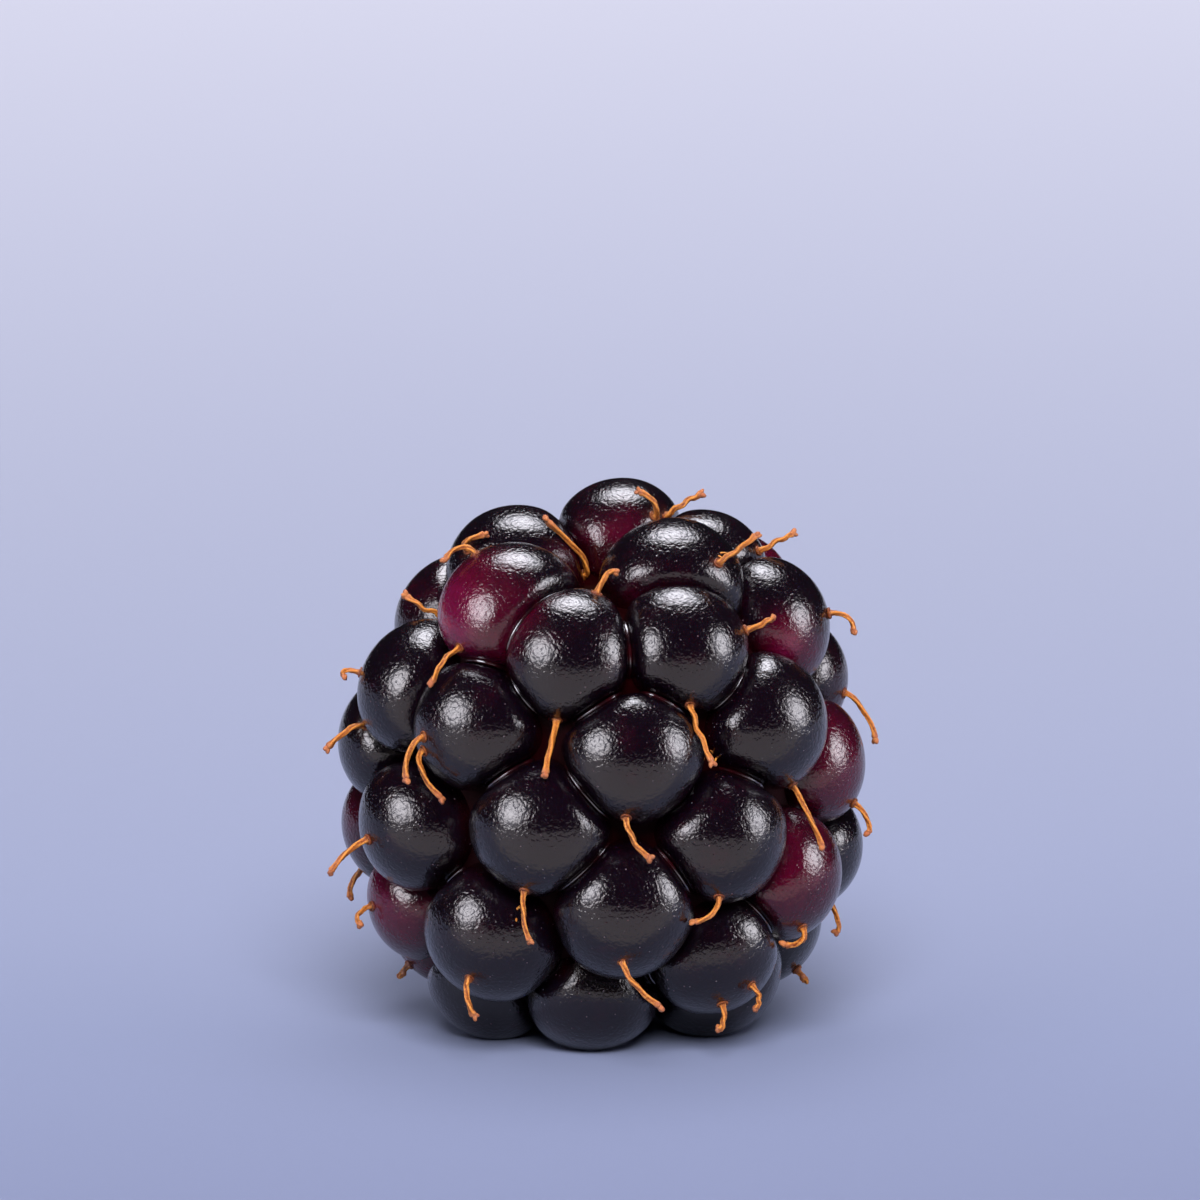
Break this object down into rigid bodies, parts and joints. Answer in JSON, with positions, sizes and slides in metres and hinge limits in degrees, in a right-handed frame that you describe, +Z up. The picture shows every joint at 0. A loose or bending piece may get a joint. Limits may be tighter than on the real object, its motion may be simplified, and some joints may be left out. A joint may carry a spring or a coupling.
{
  "type": "bramble berry",
  "caption": "Ripe bramble berry, an aggregate fruit of plump glossy drupelets with dried styles, resting on its tip with the stem scar up.",
  "frame": {"origin": "on the surface that the berry rests on, under the middle of its width and depth", "axes": "+Z up from the surface towards the stem end, +X to the right and -Y towards the side that the picture shows"},
  "size_m": [0.023, 0.0226, 0.0229],
  "materials": {
    "berry_skin": null,
    "dried_style": null,
    "stem_scar": null
  },
  "bodies": {
    "root": {"berry": "berry_skin"}
  },
  "joints": []
}
